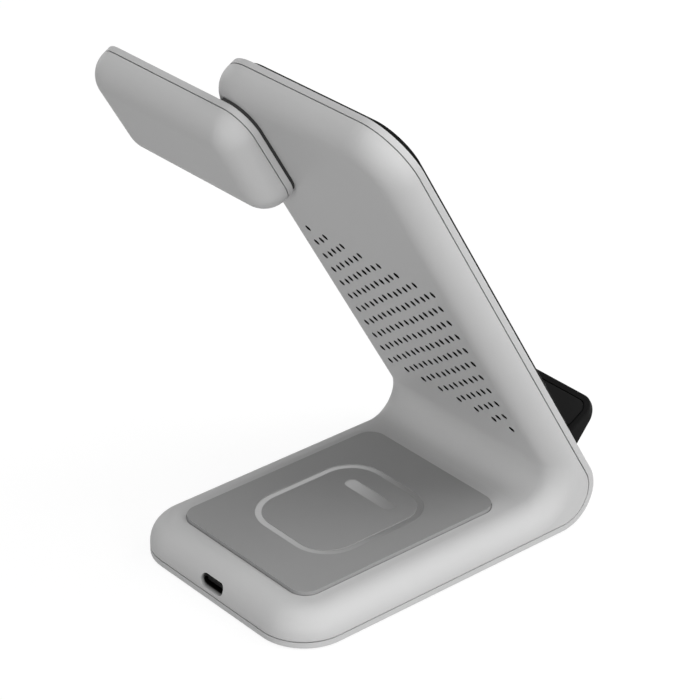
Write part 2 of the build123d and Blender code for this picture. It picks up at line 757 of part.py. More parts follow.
pieces = {
    "outer_cover": make_outer_cover(),
    "back_housing": make_back_housing(),
    "front_panel": make_front_panel(),
    "phone_ledge": make_phone_ledge(),
    "ledge_pad": pad_shape(ledge_pad_gap, ledge_height + ledge_pad_proud),
    "earbud_mat": make_earbud_mat(),
    "grip_sheet": grip_shape(-grip_proud, grip_recess, 0.0),
    "watch_front_cover": make_watch_front_cover(),
    "watch_back_shell": make_watch_back_shell(),
    "arm_gasket": make_arm_gasket(),
    "watch_dish": make_watch_dish(),
    "watch_coil": coil(
        plate, dish_middle, watch_centre_height, watch_coil_start, watch_coil_diameter, watch_coil_bore),
    "watch_magnet": dish_peg(watch_coil_start, watch_ferrite_start, magnet_diameter / 2),
    "watch_ferrite": dish_peg(watch_ferrite_start, watch_ferrite_end, watch_ferrite_radius),
    "phone_coil_lower": coil(plate, 0, phone_coil_low, cover_thickness, phone_coil_diameter, phone_coil_bore),
    "phone_coil_upper": coil(
        plate, 0, phone_coil_high, cover_thickness, phone_coil_diameter, phone_coil_bore),
    "phone_ferrite": block(
        plate, 0, phone_stack_middle, phone_ferrite_start, phone_carrier_start,
        phone_sheet_width, phone_sheet_length),
    "phone_coil_carrier": carrier(
        plate, phone_stack_middle, phone_carrier_start, phone_carrier_width, phone_carrier_length,
        phone_post_places),
    "earbud_coil": coil(base, 0, mat_middle, earbud_ferrite_end, earbud_coil_diameter, earbud_coil_bore),
    "earbud_ferrite": block(
        base, 0, mat_middle, earbud_carrier_end, earbud_ferrite_end, earbud_sheet, earbud_sheet),
    "earbud_coil_carrier": carrier(
        base, mat_middle, earbud_carrier_start, earbud_carrier_size, earbud_carrier_size, earbud_post_places),
    "counterweight": make_counterweight(),
    "main_board": make_main_board(),
    "controller_chip": board_parts(-1, board_row_one, controller_size, chip_height, 1),
    "power_inductors": board_parts(1, board_row_one, inductor_size, inductor_height, inductor_count),
    "bridge_chips": board_parts(-1, board_row_two, bridge_size, chip_height, bridge_count),
    "resonant_capacitors": board_parts(1, board_row_two, capacitor_size, capacitor_height, capacitor_count),
    "socket_shell": make_socket_shell(),
    "socket_insulator": make_socket_insulator(),
    "socket_tongue": make_socket_tongue(),
    "phone_lead": make_phone_lead(),
    "earbud_lead": make_earbud_lead(),
    "watch_lead": make_watch_lead(),
    "base_screws": screws(base, base_screw_places, base_seat, boss_tip - base_seat - head_height),
    "plate_screws": screws(plate, plate_screw_places, plate_seat, boss_tip - plate_seat - head_height),
    "ledge_screws": screws(plate, ledge_places, ledge_seat, cover_thickness + thread_depth, -1),
    "arm_screws": screws(plate, arm_places, ceiling - head_height, arm_length),
    "board_screws": screws(base, board_post_places, board_top + head_height, short_screw, -1),
    "phone_carrier_screws": screws(
        plate, phone_post_places, phone_carrier_end + head_height, short_screw, -1),
    "earbud_carrier_screws": screws(
        base, earbud_post_places, earbud_carrier_start - head_height, short_screw),
}

os.makedirs("parts", exist_ok=True)
for node, shape in pieces.items():
    export_step(shape, f"parts/{node}.step")
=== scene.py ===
from math import cos, pi, radians, sin

import bmesh
import bpy
from mathutils import Matrix, Vector


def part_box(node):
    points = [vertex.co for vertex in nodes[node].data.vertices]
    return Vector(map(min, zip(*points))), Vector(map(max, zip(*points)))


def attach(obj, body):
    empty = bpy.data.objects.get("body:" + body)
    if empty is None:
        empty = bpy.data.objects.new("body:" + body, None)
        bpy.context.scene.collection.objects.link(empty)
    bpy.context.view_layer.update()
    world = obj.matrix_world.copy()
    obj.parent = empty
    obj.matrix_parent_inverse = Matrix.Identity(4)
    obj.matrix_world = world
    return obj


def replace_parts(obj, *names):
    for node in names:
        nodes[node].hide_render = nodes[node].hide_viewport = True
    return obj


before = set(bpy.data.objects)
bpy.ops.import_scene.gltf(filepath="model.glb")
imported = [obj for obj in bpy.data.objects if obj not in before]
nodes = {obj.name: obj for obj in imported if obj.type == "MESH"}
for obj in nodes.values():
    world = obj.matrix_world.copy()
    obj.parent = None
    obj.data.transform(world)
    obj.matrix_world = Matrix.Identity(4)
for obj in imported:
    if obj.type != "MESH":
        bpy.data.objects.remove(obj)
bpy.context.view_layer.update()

# Charging stand in metres, in the frame of the solids: +Z is up, the phone faces -Y, the socket faces +Y.
MM = 0.001
LEAN = radians(30)
FRONT = Vector((0, -cos(LEAN), sin(LEAN)))
UP_SLOPE = Vector((0, sin(LEAN), cos(LEAN)))
BEND_AXIS = Vector((0, -0.0452, 0.0125))
BEND_RADIUS = 12 * MM
PLATE_FOOT = BEND_AXIS + FRONT * BEND_RADIUS
UPRIGHT = (0, 0, 0)
ON_PLATE = (pi / 2 - LEAN, 0, 0)


# Camera, fitted to the object's straight edges in the photograph
LENS = 143.65
SENSOR = 36.0
CAMERA_SPOT = (-0.529553, 0.455802, 0.453592)
CAMERA_LINE = Vector((0.66421, -0.56556, -0.48884))

scene = bpy.context.scene
scene.view_settings.view_transform = "Standard"
camera_data = bpy.data.cameras.new("camera")
camera_data.sensor_fit = "HORIZONTAL"
camera_data.sensor_width = SENSOR
camera_data.lens = LENS
camera_data.clip_start = 0.01
camera = bpy.data.objects.new("camera", camera_data)
camera.location = CAMERA_SPOT
camera.rotation_euler = CAMERA_LINE.to_track_quat("-Z", "Y").to_euler()
scene.collection.objects.link(camera)
scene.camera = camera


# Node helpers
def add(tree, kind, values=None, **settings):
    """Adds a shader node, with its settings and the plain values of its inputs."""
    made = tree.nodes.new(kind)
    for key, value in settings.items():
        setattr(made, key, value)
    for key, value in (values or {}).items():
        made.inputs[key].default_value = value
    return made


def math(tree, operation, first, second=None, clamp=False):
    """Math node on two sockets or numbers, as its output."""
    made = add(tree, "ShaderNodeMath", operation=operation, use_clamp=clamp)
    for place, value in enumerate((first, second)):
        if value is None:
            continue
        if isinstance(value, bpy.types.NodeSocket):
            tree.links.new(value, made.inputs[place])
        else:
            made.inputs[place].default_value = value
    return made.outputs[0]


def spread(tree, value, low, high):
    """Takes a value that runs from 0 to 1 to a range."""
    made = add(tree, "ShaderNodeMapRange", {"To Min": low, "To Max": high})
    tree.links.new(value, made.inputs["Value"])
    return made.outputs["Result"]


def noise(tree, vector, scale, detail):
    """Noise of a size, as its value."""
    made = add(tree, "ShaderNodeTexNoise", {"Detail": detail})
    tree.links.new(vector, made.inputs["Vector"])
    if isinstance(scale, bpy.types.NodeSocket):
        tree.links.new(scale, made.inputs["Scale"])
    else:
        made.inputs["Scale"].default_value = scale
    return made.outputs["Fac"]


def tinted(tree, colour, value):
    """Colour times a value."""
    made = add(tree, "ShaderNodeVectorMath", operation="SCALE")
    tree.links.new(colour, made.inputs[0])
    tree.links.new(value, made.inputs["Scale"])
    return made.outputs["Vector"]


def blended(tree, share, colour, other):
    """Colour that goes over to another plain colour by a share."""
    made = add(tree, "ShaderNodeMix", data_type="RGBA")
    made.inputs[7].default_value = other
    tree.links.new(share, made.inputs[0])
    tree.links.new(colour, made.inputs[6])
    return made.outputs[2]


def split(tree, vector):
    """The three coordinates of a vector, as sockets."""
    made = add(tree, "ShaderNodeSeparateXYZ")
    tree.links.new(vector, made.inputs[0])
    return made.outputs


def length_along(tree, vector, axes):
    """Length of a vector counted along some of its axes only."""
    kept = add(tree, "ShaderNodeVectorMath", operation="MULTIPLY")
    kept.inputs[1].default_value = axes
    tree.links.new(vector, kept.inputs[0])
    made = add(tree, "ShaderNodeVectorMath", operation="LENGTH")
    tree.links.new(kept.outputs["Vector"], made.inputs[0])
    return made.outputs["Value"]


def new_group(name, inputs, outputs):
    """Empty shader node group with named sockets, and its two ends."""
    tree = bpy.data.node_groups.new(name, "ShaderNodeTree")
    kinds = {"colour": "NodeSocketColor", "vector": "NodeSocketVector", "value": "NodeSocketFloat"}
    for label, kind in inputs:
        tree.interface.new_socket(label, in_out="INPUT", socket_type=kinds[kind])
    for label, kind in outputs:
        tree.interface.new_socket(label, in_out="OUTPUT", socket_type=kinds[kind])
    return tree, tree.nodes.new("NodeGroupInput"), tree.nodes.new("NodeGroupOutput")


# Effects that several finishes share
LINE_STRETCH = 0.04


def make_moulded_grain():
    """Fine grain of a moulding tool, with slow changes of tone and gloss."""
    sizes = [("Grain Scale", "value"), ("Cloud Scale", "value")]
    amounts = [("Tone Spread", "value"), ("Roughness", "value"), ("Gloss Spread", "value")]
    tree, start, end = new_group(
        "moulded_grain",
        [("Vector", "vector"), ("Colour", "colour")] + sizes + amounts,
        [("Colour", "colour"), ("Roughness", "value"), ("Height", "value")])
    fine = noise(tree, start.outputs["Vector"], start.outputs["Grain Scale"], 2.0)
    cloud = noise(tree, start.outputs["Vector"], start.outputs["Cloud Scale"], 3.0)
    both = math(tree, "ADD", math(tree, "MULTIPLY", fine, 0.5), math(tree, "MULTIPLY", cloud, 1.5))
    swing = math(tree, "SUBTRACT", both, 1.0)
    tone = math(tree, "ADD", math(tree, "MULTIPLY", swing, start.outputs["Tone Spread"]), 1.0)
    gloss = math(tree, "MULTIPLY", swing, start.outputs["Gloss Spread"])
    rough = math(tree, "ADD", start.outputs["Roughness"], gloss, clamp=True)
    tree.links.new(tinted(tree, start.outputs["Colour"], tone), end.inputs["Colour"])
    tree.links.new(rough, end.inputs["Roughness"])
    tree.links.new(fine, end.inputs["Height"])
    return tree


def make_turned_rings():
    """Rings about the local Z axis: 0 in a groove and 1 on a ridge."""
    tree, start, end = new_group(
        "turned_rings", [("Vector", "vector"), ("Pitch", "value")], [("Ridge", "value")])
    away = length_along(tree, start.outputs["Vector"], (1.0, 1.0, 0.0))
    turns = math(tree, "DIVIDE", away, start.outputs["Pitch"])
    wave = math(tree, "SINE", math(tree, "MULTIPLY", turns, 2 * pi))
    tree.links.new(math(tree, "ADD", math(tree, "MULTIPLY", wave, 0.5), 0.5), end.inputs["Ridge"])
    return tree


def make_brushed_lines():
    """Fine lines of a rolled or drawn metal, along the local X axis."""
    tree, start, end = new_group(
        "brushed_lines",
        [("Vector", "vector"), ("Line Scale", "value"), ("Colour", "colour"), ("Tone Spread", "value"),
         ("Roughness", "value"), ("Gloss Spread", "value")],
        [("Colour", "colour"), ("Roughness", "value"), ("Height", "value")])
    drawn = add(tree, "ShaderNodeVectorMath", operation="MULTIPLY")
    drawn.inputs[1].default_value = (LINE_STRETCH, 1.0, 1.0)
    tree.links.new(start.outputs["Vector"], drawn.inputs[0])
    line = noise(tree, drawn.outputs["Vector"], start.outputs["Line Scale"], 4.0)
    swing = math(tree, "SUBTRACT", math(tree, "MULTIPLY", line, 2.0), 1.0)
    tone = math(tree, "ADD", math(tree, "MULTIPLY", swing, start.outputs["Tone Spread"]), 1.0)
    gloss = math(tree, "MULTIPLY", swing, start.outputs["Gloss Spread"])
    tree.links.new(tinted(tree, start.outputs["Colour"], tone), end.inputs["Colour"])
    tree.links.new(math(tree, "ADD", start.outputs["Roughness"], gloss, clamp=True), end.inputs["Roughness"])
    tree.links.new(line, end.inputs["Height"])
    return tree


moulded_grain = make_moulded_grain()
turned_rings = make_turned_rings()
brushed_lines = make_brushed_lines()


# Finishes
VENT_REACH = 30 * MM
VENT_LOW = 22 * MM
VENT_HIGH = 92 * MM
# Depth inside the back face where the painted shade in the vents begins
VENT_SHADE_SETBACK = 0.02 * MM
PLATE_DEPTH = 10.5 * MM
PANEL_FACE = 2.2 * MM
END_AXIS = (0, 49.7 * MM, 3.5 * MM)
END_ROUND = 7.5 * MM
SLOT_RISE = 2.5 * MM
SLOT_HALF_WIDTH = 5.15 * MM
SLOT_HALF_HEIGHT = 1.95 * MM
SLOT_LIP = 0.1 * MM
SLOT_FADE = 1.7 * MM
TIN = (0.62, 0.6, 0.56, 1.0)


def new_finish(name, **plain):
    """Material with a principled shader, whose plain values sit on its own sockets."""
    material = bpy.data.materials.new(name)
    material.use_nodes = True
    shader = material.node_tree.nodes["Principled BSDF"]
    for label, value in plain.items():
        shader.inputs[label.replace("_", " ")].default_value = value
    return material, material.node_tree, shader


def object_place(tree, centre=None, turn=None):
    """Object coordinates, centred and turned on a piece where its pattern needs it."""
    place = add(tree, "ShaderNodeTexCoord").outputs["Object"]
    if centre is None and turn is None:
        return place
    mapping = add(tree, "ShaderNodeMapping", vector_type="TEXTURE")
    mapping.inputs["Location"].default_value = centre or (0, 0, 0)
    mapping.inputs["Rotation"].default_value = turn or (0, 0, 0)
    tree.links.new(place, mapping.inputs["Vector"])
    return mapping.outputs["Vector"]


def use(tree, group, vector, **values):
    """Places a shared effect in a material with its own values."""
    made = add(tree, "ShaderNodeGroup", node_tree=group)
    tree.links.new(vector, made.inputs["Vector"])
    for label, value in values.items():
        socket = made.inputs[label.replace("_", " ")]
        if isinstance(value, bpy.types.NodeSocket):
            tree.links.new(value, socket)
        else:
            socket.default_value = value
    return made


def relief(tree, shader, height, distance, strength=1.0):
    """Feeds a height to the shader's normal."""
    bump = add(tree, "ShaderNodeBump", {"Distance": distance, "Strength": strength})
    tree.links.new(height, bump.inputs["Height"])
    tree.links.new(bump.outputs["Normal"], shader.inputs["Normal"])


def paint(tree, shader, skin):
    """Feeds an effect's colour and roughness to the shader."""
    tree.links.new(skin.outputs["Colour"], shader.inputs["Base Color"])
    tree.links.new(skin.outputs["Roughness"], shader.inputs["Roughness"])


def paint_shade(material, field):
    """Paints shade into a finish: black where a field is 1."""
    tree = material.node_tree
    base = tree.nodes["Principled BSDF"].inputs["Base Color"]
    tree.links.new(blended(tree, field, base.links[0].from_socket, SHADE_BLACK), base)


def grey(level):
    """Neutral colour of one level."""
    return (level, level, level, 1.0)


# Near black of the painted shade in the vent holes and the slot
SHADE_BLACK = grey(0.01)
ENAMEL = (0.62, 0.25, 0.1, 1.0)
WIRE_PITCH = 0.55 * MM
WIRE_RELIEF = 0.2 * MM
DISH_PITCH = 0.5 * MM
CAP_SHARE = 0.32


def moulded(name, colour, roughness, grain, depth, cloud=40.0, tone=0.04, gloss=0.08, **plain):
    """Moulded plastic or rubber: fine grain, and slow changes of tone and gloss."""
    material, tree, shader = new_finish(name, **plain)
    skin = use(tree, moulded_grain, object_place(tree), Colour=colour, Roughness=roughness, Grain_Scale=grain,
               Cloud_Scale=cloud, Tone_Spread=tone, Gloss_Spread=gloss)
    paint(tree, shader, skin)
    relief(tree, shader, skin.outputs["Height"], depth)
    return material


def drawn_metal(name, colour, roughness, lines, depth, turn=None, tone=0.12, gloss=0.12):
    """Rolled or drawn metal with fine lines."""
    material, tree, shader = new_finish(name, Metallic=1.0)
    skin = use(tree, brushed_lines, object_place(tree, turn=turn), Colour=colour, Roughness=roughness,
               Line_Scale=lines, Tone_Spread=tone, Gloss_Spread=gloss)
    paint(tree, shader, skin)
    relief(tree, shader, skin.outputs["Height"], depth)
    return material


def wound_copper(name, node, turn):
    """Flat coil of enamelled wire: one ring of the pattern is one turn of wire."""
    low, high = (Vector(p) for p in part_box(node))
    material, tree, shader = new_finish(name, Metallic=0.85, Coat_Weight=0.3)
    place = object_place(tree, tuple((low + high) / 2), turn)
    ridge = use(tree, turned_rings, place, Pitch=WIRE_PITCH).outputs["Ridge"]
    mottle = noise(tree, place, 700.0, 3.0)
    wire = math(tree, "MULTIPLY", spread(tree, ridge, 0.25, 1.0), spread(tree, mottle, 0.85, 1.15))
    enamel = add(tree, "ShaderNodeRGB")
    enamel.outputs[0].default_value = ENAMEL
    tree.links.new(tinted(tree, enamel.outputs[0], wire), shader.inputs["Base Color"])
    tree.links.new(spread(tree, mottle, 0.25, 0.5), shader.inputs["Roughness"])
    relief(tree, shader, ridge, WIRE_RELIEF)
    return material


def circuit_board(name):
    """Board with solder mask over tracks and tinned spots."""
    material, tree, shader = new_finish(name, Coat_Weight=0.25)
    place = object_place(tree)
    tracks = add(tree, "ShaderNodeTexBrick", {
        "Color1": (0.012, 0.1, 0.045, 1.0), "Color2": (0.016, 0.13, 0.06, 1.0),
        "Mortar": (0.03, 0.2, 0.09, 1.0), "Scale": 160.0, "Mortar Size": 0.03})
    tree.links.new(place, tracks.inputs["Vector"])
    spots = add(tree, "ShaderNodeTexVoronoi", {"Scale": 420.0, "Randomness": 0.6})
    tree.links.new(place, spots.inputs["Vector"])
    tinned = math(tree, "LESS_THAN", spots.outputs["Distance"], 0.16)
    tree.links.new(blended(tree, tinned, tracks.outputs["Color"], TIN), shader.inputs["Base Color"])
    tree.links.new(tinned, shader.inputs["Metallic"])
    tree.links.new(spread(tree, noise(tree, place, 300.0, 3.0), 0.3, 0.5), shader.inputs["Roughness"])
    relief(tree, shader, tracks.outputs["Fac"], 0.05 * MM)
    return material


def knurled_rubber(name, colour):
    """Rubber sheet with a crossed pattern of shallow grooves on it."""
    material, tree, shader = new_finish(name, Specular_IOR_Level=0.3)
    place = object_place(tree, turn=(0, 0, radians(45)))
    skin = use(tree, moulded_grain, place, Colour=colour, Roughness=0.75, Grain_Scale=2200.0,
               Cloud_Scale=60.0, Tone_Spread=0.25, Gloss_Spread=0.15)
    cells = add(tree, "ShaderNodeTexBrick", {"Scale": 400.0, "Mortar Size": 0.06, "Mortar Smooth": 0.4,
                                             "Brick Width": 0.8, "Row Height": 0.8}, offset=0.0)
    tree.links.new(place, cells.inputs["Vector"])
    grain = math(tree, "MULTIPLY", skin.outputs["Height"], 0.1)
    height = math(tree, "SUBTRACT", grain, cells.outputs["Fac"])
    paint(tree, shader, skin)
    relief(tree, shader, height, 0.15 * MM)
    return material


def turned_dish(name, node, colour):
    """Satin charging face with faint turned rings."""
    low, high = (Vector(p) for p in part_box(node))
    material, tree, shader = new_finish(name, Specular_IOR_Level=0.5)
    place = object_place(tree, tuple((low + high) / 2), ON_PLATE)
    skin = use(tree, moulded_grain, place, Colour=colour, Roughness=0.38, Grain_Scale=1800.0,
               Cloud_Scale=80.0, Tone_Spread=0.15, Gloss_Spread=0.1)
    ridge = use(tree, turned_rings, place, Pitch=DISH_PITCH).outputs["Ridge"]
    paint(tree, shader, skin)
    height = math(tree, "ADD", math(tree, "MULTIPLY", skin.outputs["Height"], 0.4), ridge)
    relief(tree, shader, height, 0.006 * MM)
    return material


def capped_ceramic(name):
    """Ceramic capacitors with tinned ends."""
    material, tree, shader = new_finish(name)
    place = object_place(tree)
    low, high = (Vector(p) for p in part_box("resonant_capacitors"))
    middle = (low.y + high.y) / 2
    away = math(tree, "ABSOLUTE", math(tree, "SUBTRACT", split(tree, place)["Y"], middle))
    cap = math(tree, "GREATER_THAN", away, CAP_SHARE * (high.y - low.y))
    skin = use(tree, moulded_grain, place, Colour=(0.42, 0.27, 0.14, 1.0), Roughness=0.5, Grain_Scale=3000.0,
               Cloud_Scale=300.0, Tone_Spread=0.3, Gloss_Spread=0.1)
    tree.links.new(blended(tree, cap, skin.outputs["Colour"], TIN), shader.inputs["Base Color"])
    tree.links.new(cap, shader.inputs["Metallic"])
    tree.links.new(skin.outputs["Roughness"], shader.inputs["Roughness"])
    relief(tree, shader, skin.outputs["Height"], 0.01 * MM)
    return material


def shade_vents(material):
    """Painted shade: black on the walls of the vent holes and on the wall behind them, where shade falls."""
    tree = material.node_tree
    spot = split(tree, object_place(tree, tuple(PLATE_FOOT), ON_PLATE))
    across = math(tree, "LESS_THAN", math(tree, "ABSOLUTE", spot["X"]), VENT_REACH)
    above = math(tree, "GREATER_THAN", spot["Y"], VENT_LOW)
    below = math(tree, "LESS_THAN", spot["Y"], VENT_HIGH)
    inside = math(tree, "GREATER_THAN", spot["Z"], VENT_SHADE_SETBACK - PLATE_DEPTH)
    height = math(tree, "MULTIPLY", above, below)
    paint_shade(material, math(tree, "MULTIPLY", math(tree, "MULTIPLY", across, inside), height))
    return material


def polish_face(material):
    """Polished coat on the panel's face, with its edge left matt."""
    tree = material.node_tree
    depth = split(tree, object_place(tree, tuple(PLATE_FOOT), ON_PLATE))["Z"]
    face = math(tree, "GREATER_THAN", depth, PANEL_FACE)
    wiped = spread(tree, noise(tree, object_place(tree), 60.0, 3.0), 0.8, 1.0)
    tree.links.new(math(tree, "MULTIPLY", face, wiped), tree.nodes["Principled BSDF"].inputs["Coat Weight"])
    return material


def shade_slot(material):
    """Slot walls that darken with depth, from the end face to the socket behind it."""
    tree = material.node_tree
    place = object_place(tree, END_AXIS)
    spot = split(tree, place)
    across = math(tree, "LESS_THAN", math(tree, "ABSOLUTE", spot["X"]), SLOT_HALF_WIDTH)
    rise = math(tree, "ABSOLUTE", math(tree, "SUBTRACT", spot["Z"], SLOT_RISE))
    upright = math(tree, "LESS_THAN", rise, SLOT_HALF_HEIGHT)
    deep = math(tree, "SUBTRACT", END_ROUND - SLOT_LIP, length_along(tree, place, (0.0, 1.0, 1.0)))
    deep = math(tree, "DIVIDE", deep, SLOT_FADE, clamp=True)
    paint_shade(material, math(tree, "MULTIPLY", math(tree, "MULTIPLY", across, upright), deep))
    return material


shell = {"colour": grey(0.60), "roughness": 0.5, "grain": 1900.0, "depth": 0.008 * MM, "tone": 0.03,
         "Specular_IOR_Level": 0.15}
shell_satin = moulded("shell_satin", **shell)
# The vented shell carries painted shade in its vent holes and in its slot
vented_satin = shade_slot(shade_vents(moulded("vented_satin", **shell)))
mat_soft = moulded("mat_soft", grey(0.31), 0.6, 1500.0, 0.006 * MM, cloud=55.0, tone=0.05,
                   Specular_IOR_Level=0.35)
mark_foil = moulded("mark_foil", grey(0.43), 0.42, 900.0, 0.002 * MM, cloud=70.0, tone=0.05, gloss=0.04,
                    Metallic=0.85)
panel_gloss = polish_face(moulded("panel_gloss", grey(0.006), 0.6, 1200.0, 0.003 * MM, cloud=22.0, tone=0.2,
                                  gloss=0.14, Specular_IOR_Level=0.06, Coat_Roughness=0.16))
ledge_satin = moulded("ledge_satin", grey(0.007), 0.5, 1700.0, 0.008 * MM, tone=0.2, gloss=0.12,
                      Specular_IOR_Level=0.05)
pad_rubber = moulded("pad_rubber", grey(0.01), 0.6, 1500.0, 0.01 * MM, tone=0.25, gloss=0.15,
                     Specular_IOR_Level=0.08)
# Spacer between the watch head and the plate, coloured dark grey as painted shadow in the gap
gasket_shade = moulded("gasket_shade", grey(0.05), 0.85, 900.0, 0.05 * MM, tone=0.4, gloss=0.1,
                      Specular_IOR_Level=0.25)
grip_rubber = knurled_rubber("grip_rubber", grey(0.02))
dish_satin = turned_dish("dish_satin", "watch_dish", grey(0.03))
carrier_nylon = moulded("carrier_nylon", grey(0.55), 0.55, 1200.0, 0.012 * MM, tone=0.08)
ferrite_ceramic = moulded("ferrite_ceramic", grey(0.06), 0.6, 1400.0, 0.02 * MM, tone=0.5, gloss=0.2)
chip_epoxy = moulded("chip_epoxy", grey(0.02), 0.55, 2600.0, 0.012 * MM, tone=0.3)
tongue_resin = moulded("tongue_resin", grey(0.006), 0.6, 3000.0, 0.004 * MM, tone=0.2, Specular_IOR_Level=0.1)
lead_vinyl = moulded("lead_vinyl", grey(0.02), 0.45, 900.0, 0.01 * MM, tone=0.2, gloss=0.15)
# Drawn steel of the socket, its near-black colour painted shade deep in the slot
shaded_socket_steel = drawn_metal("shaded_socket_steel", grey(0.01), 0.42, 1800.0, 0.004 * MM)
weight_steel = drawn_metal("weight_steel", (0.45, 0.45, 0.44, 1.0), 0.4, 900.0, 0.01 * MM)
screw_zinc = drawn_metal("screw_zinc", grey(0.5), 0.3, 2400.0, 0.004 * MM, (0, pi / 2, 0))
magnet_nickel = drawn_metal("magnet_nickel", (0.6, 0.57, 0.52, 1.0), 0.22, 2200.0, 0.003 * MM)
contact_gold = drawn_metal("contact_gold", (0.4, 0.27, 0.1, 1.0), 0.35, 2600.0, 0.002 * MM, (0, 0, pi / 2))
board_mask = circuit_board("board_mask")
capacitor_ceramic = capped_ceramic("capacitor_ceramic")

finishes = {
    "outer_cover": shell_satin, "back_housing": vented_satin, "watch_front_cover": shell_satin,
    "watch_back_shell": shell_satin, "front_panel": panel_gloss, "phone_ledge": ledge_satin,
    "ledge_pad": pad_rubber, "earbud_mat": mat_soft, "grip_sheet": grip_rubber, "arm_gasket": gasket_shade,
    "watch_dish": dish_satin, "watch_magnet": magnet_nickel, "counterweight": weight_steel,
    "watch_coil": wound_copper("watch_winding", "watch_coil", ON_PLATE),
    "phone_coil_lower": wound_copper("phone_winding_lower", "phone_coil_lower", ON_PLATE),
    "phone_coil_upper": wound_copper("phone_winding_upper", "phone_coil_upper", ON_PLATE),
    "earbud_coil": wound_copper("earbud_winding", "earbud_coil", UPRIGHT),
    "watch_ferrite": ferrite_ceramic, "phone_ferrite": ferrite_ceramic, "earbud_ferrite": ferrite_ceramic,
    "power_inductors": ferrite_ceramic, "phone_coil_carrier": carrier_nylon,
    "earbud_coil_carrier": carrier_nylon, "main_board": board_mask, "controller_chip": chip_epoxy,
    "bridge_chips": chip_epoxy,
    "resonant_capacitors": capacitor_ceramic, "socket_shell": shaded_socket_steel, "socket_insulator": tongue_resin,
    "socket_tongue": tongue_resin, "phone_lead": lead_vinyl, "earbud_lead": lead_vinyl,
    "watch_lead": lead_vinyl,
}
for node, thing in nodes.items():
    finish = screw_zinc if node.endswith("screws") else finishes[node]
    for slot in thing.material_slots:
        slot.material = finish


# New pieces
CORNER_STEPS = 12
SHARP_ANGLE = radians(50)
LEVEL_ERROR = 1e-7


def new_piece(name, bm, materials):
    """Turns a bmesh into a piece that rides on the stand."""
    mesh = bpy.data.meshes.new(name)
    bm.to_mesh(mesh)
    bm.free()
    for material in materials:
        mesh.materials.append(material)
    piece = bpy.data.objects.new(name, mesh)
    scene.collection.objects.link(piece)
    mesh.shade_smooth()
    mesh.set_sharp_from_angle(angle=SHARP_ANGLE)
    even = piece.modifiers.new("even_shading", "WEIGHTED_NORMAL")
    even.keep_sharp = True
    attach(piece, "root")
    return piece


def round_loop(bm, middle, width, length, height, corner, square_end=False):
    """Level loop of edges with round corners, square at its low end if asked."""
    spots = [(-1, -1), (1, -1), (1, 1), (-1, 1)]
    corners = [bm.verts.new((middle[0] + x * width / 2, middle[1] + y * length / 2, height))
               for x, y in spots]
    bm.faces.new(corners)
    rounded = corners[2:] if square_end else corners
    bmesh.ops.bevel(bm, geom=rounded, offset=corner, offset_type="OFFSET", affect="VERTICES",
                    segments=CORNER_STEPS, profile=0.5, material=-1)
    level = [face for face in bm.faces
             if all(abs(corner.co.z - height) < LEVEL_ERROR for corner in face.verts)]
    loop = level[-1]
    edges = list(loop.edges)
    bmesh.ops.delete(bm, geom=[loop], context="FACES_ONLY")
    return edges


def between(bm, first, second):
    """Band of faces between two loops."""
    return bmesh.ops.bridge_loops(bm, edges=first + second)["faces"]


def soften(bm, edges, width, segments):
    """Rounds a loop of edges."""
    live = [edge for edge in edges if edge.is_valid]
    bmesh.ops.bevel(bm, geom=live, offset=width, offset_type="OFFSET", affect="EDGES", segments=segments,
                    profile=0.5, material=-1, clamp_overlap=True)


def fill(bm, *loops):
    """Closes a level loop, or the ground between a loop and a smaller one inside it."""
    edges = [edge for loop in loops for edge in loop]
    made = bmesh.ops.triangle_fill(bm, edges=edges, use_beauty=True, use_dissolve=False)["geom"]
    return [part for part in made if isinstance(part, bmesh.types.BMFace)]


# Soft mat with the engraved outline of an earbud case and a pill
MAT_CORNER = 5.5 * MM
MAT_ROUND = 0.9 * MM
MARK_SIDE = 9.3 * MM
MARK_END = 14.6 * MM
MARK_CORNER = 12.0 * MM
MARK_LINE = 2.0 * MM
MARK_DEPTH = 0.15 * MM
MARK_ROUND = 0.06 * MM
PILL_WIDTH = 20.6 * MM
PILL_HEIGHT = 4.4 * MM
PILL_MARGIN = 11.0 * MM
PILL_CORNER = 0.495 * PILL_HEIGHT
MAT_STEPS = 6
MARK_STEPS = 3


